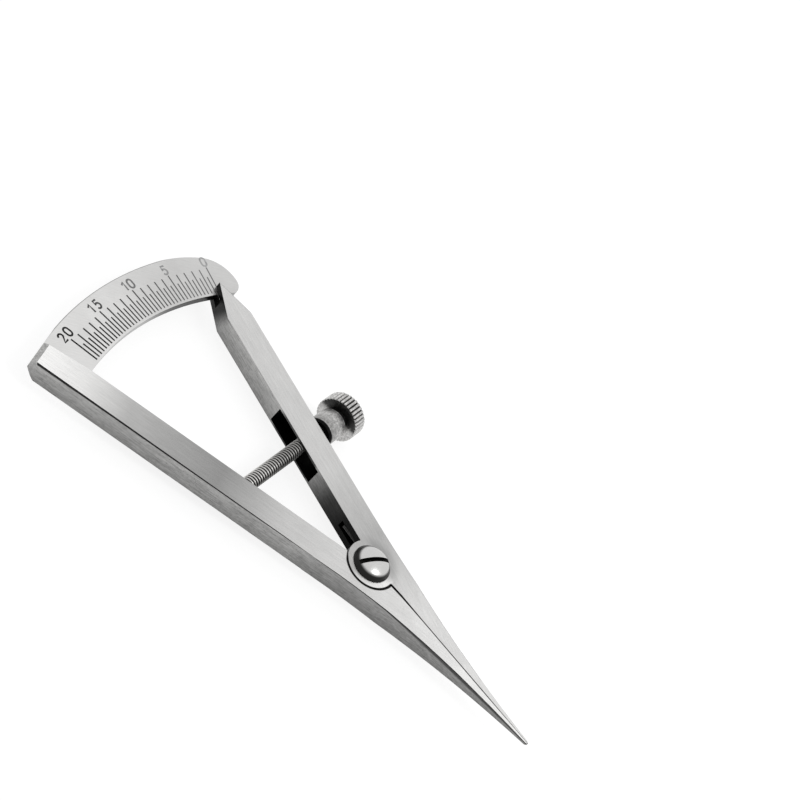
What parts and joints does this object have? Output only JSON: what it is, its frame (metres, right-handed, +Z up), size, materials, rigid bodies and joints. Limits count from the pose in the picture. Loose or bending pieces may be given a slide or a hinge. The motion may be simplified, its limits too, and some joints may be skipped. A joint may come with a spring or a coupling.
{
  "type": "castroviejo caliper",
  "caption": "Small straight-tipped measuring caliper: two legs lapped at a pivot, a graduated arc read by a forked pointer, and a knurled thumb nut on a swivelling threaded rod.",
  "frame": {"origin": "under the middle of the caliper as it lies face up with closed tips, at its lowest level, the underside of the knurled wheel", "axes": "+Z up out of the front face, which shows the screw head; +Y from the tips toward the graduated arc; +X toward the moving leg"},
  "size_m": [0.0436, 0.0926, 0.0074],
  "materials": {
    "leg_steel": "satin, brushed along the legs",
    "scale_steel": "satin, with black-filled graduations",
    "bright_steel": "polished",
    "rod_steel": "cut thread",
    "spring_steel": "drawn wire"
  },
  "bodies": {
    "fixed_leg": {"fixed_leg": "leg_steel", "scale_arc": "scale_steel", "pivot_screw": "bright_steel", "pivot_spring": "spring_steel", "rod_pin": "leg_steel"},
    "moving_leg": {"moving_leg": "leg_steel"},
    "adjusting_rod": {"adjusting_rod": "rod_steel"},
    "nut_hub": {"nut_hub": "bright_steel"},
    "knurled_wheel": {"knurled_wheel": "bright_steel"}
  },
  "joints": [
    {"name": "leg_hinge", "type": "hinge", "parent": "fixed_leg", "child": "moving_leg", "pos_m": [-0.00033, -0.01135, 0.0037], "axis": [0, 0, 1], "range_deg": [0, 33.21], "deforming": ["pivot_spring"]},
    {"name": "rod_swivel", "type": "hinge", "parent": "fixed_leg", "child": "adjusting_rod", "pos_m": [-0.00977, 0.00973, 0.0037], "axis": [0, 0, 1], "range_deg": [0, 16.61]},
    {"name": "nut_travel", "type": "slide", "parent": "adjusting_rod", "child": "nut_hub", "axis": [-0.9994, 0.0359, 0], "range_m": [0, 0.01306]},
    {"name": "nut_spin", "type": "hinge", "parent": "nut_hub", "child": "knurled_wheel", "pos_m": [0.01836, 0.00872, 0.0037], "axis": [-0.9994, 0.0359, 0], "range_deg": [0, 8550.5]}
  ],
  "couplings": [
    {"joint": "nut_spin", "follows": "nut_travel", "rad_per_m": 11424},
    {"joint": "leg_hinge", "follows": "nut_travel", "rad_per_m": 44.36},
    {"joint": "rod_swivel", "follows": "nut_travel", "rad_per_m": 22.18}
  ]
}
